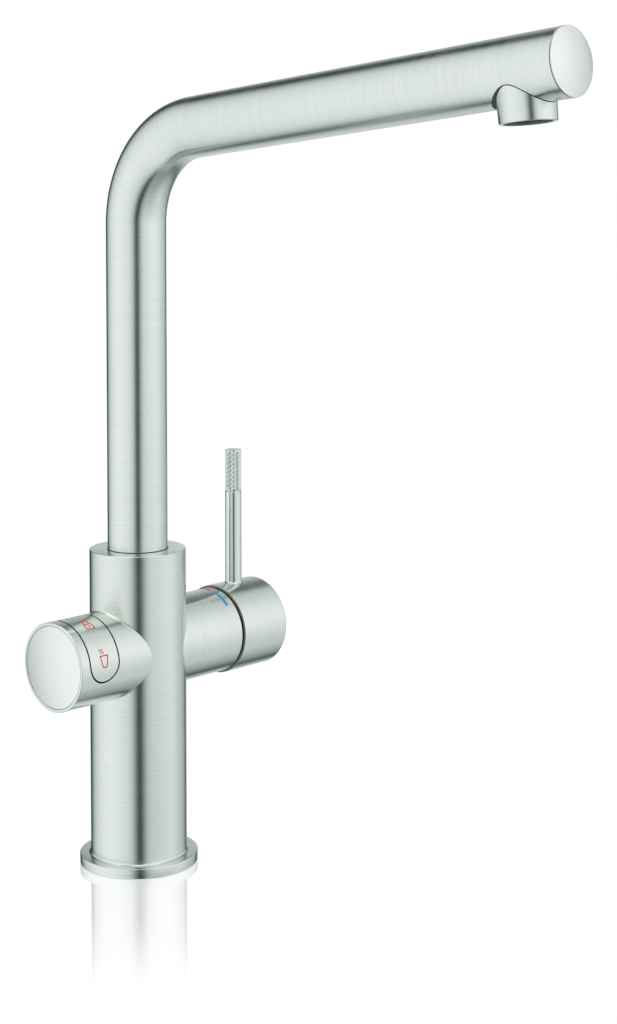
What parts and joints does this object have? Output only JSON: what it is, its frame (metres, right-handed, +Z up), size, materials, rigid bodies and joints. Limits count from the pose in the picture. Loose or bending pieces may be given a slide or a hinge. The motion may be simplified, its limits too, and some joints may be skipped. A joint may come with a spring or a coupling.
{
  "type": "boiling water tap",
  "caption": "Kitchen tap with a column body, swivelling L-shaped spout, a lever mixer on the right arm and a rocker key for boiling water on the left arm.",
  "frame": {"origin": "centre of the base flange's underside, on the column's axis, where the tap stands on the worktop", "axes": "+Z up along the column, -Y forwards along the spout, +X to the right along the arm with the mixer lever"},
  "size_m": [0.1304, 0.2747, 0.3791],
  "materials": {
    "brushed_steel": "brushed, satin",
    "brass": "machined",
    "screw_steel": "machined",
    "rubber": "matt",
    "white_plastic": "moulded",
    "dark_plastic": "moulded, satin",
    "ceramic": "lapped",
    "board": "lacquered",
    "clear_red": "clear, tinted"
  },
  "bodies": {
    "tap_frame": {"base_flange": "brushed_steel", "deck_seal": "rubber", "tap_body": "brushed_steel", "inlet_block": "brass", "block_screws": "screw_steel", "water_manifold": "brass", "tube_seal": "rubber", "spout_glide_ring": "white_plastic", "spout_lock_screw": "screw_steel", "cartridge_body": "white_plastic", "port_seals": "rubber", "fixed_disc": "ceramic", "cartridge_nut": "brass", "control_housing": "dark_plastic", "control_board": "board", "key_switches": "dark_plastic", "light_guides": "clear_red", "key_pin": "screw_steel", "key_seal": "rubber", "end_cap": "brushed_steel", "cap_seal": "rubber"},
    "rocker_key": {"control_key": "brushed_steel"},
    "spout": {"spout_stem": "brass", "stem_seals": "rubber", "spout_tube": "brushed_steel", "boiling_tube": "white_plastic", "spout_end_cap": "brushed_steel", "outlet_collar": "brushed_steel", "aerator_housing": "dark_plastic", "aerator_screen": "dark_plastic"},
    "mixer_rotor": {"cartridge_rotor": "white_plastic", "spindle_pin": "screw_steel", "dome_sleeve": "dark_plastic"},
    "mixing_disc": {"moving_disc": "ceramic", "disc_carrier": "dark_plastic"},
    "lever": {"spindle": "brass", "lever_hub": "brushed_steel", "hub_screw": "screw_steel", "lever_rod": "brushed_steel", "lever_grip": "brushed_steel"}
  },
  "joints": [
    {"name": "key_rock", "type": "hinge", "parent": "tap_frame", "child": "rocker_key", "pos_m": [-0.038, -0.01091, 0.1124], "axis": [1, 0, 0], "range_deg": [-1.5, 1.5], "stiffness_Nm_per_rad": 0.5},
    {"name": "spout_swivel", "type": "hinge", "parent": "tap_frame", "child": "spout", "pos_m": [0, 0, 0.15], "axis": [0, 0, 1], "range_deg": [-75, 75]},
    {"name": "lever_temperature", "type": "hinge", "parent": "tap_frame", "child": "mixer_rotor", "pos_m": [0.035, 0, 0.1007], "axis": [1, 0, 0], "range_deg": [-35, 60]},
    {"name": "lever_flow", "type": "hinge", "parent": "mixer_rotor", "child": "lever", "pos_m": [0.035, 0, 0.1007], "axis": [0, 1, 0], "range_deg": [0, 25]},
    {"name": "disc_slide", "type": "slide", "parent": "mixer_rotor", "child": "mixing_disc", "axis": [0, 0, 1], "range_m": [0, 0.00385]}
  ],
  "couplings": [
    {"joint": "disc_slide", "follows": "lever_flow", "m_per_rad": 0.00872}
  ]
}
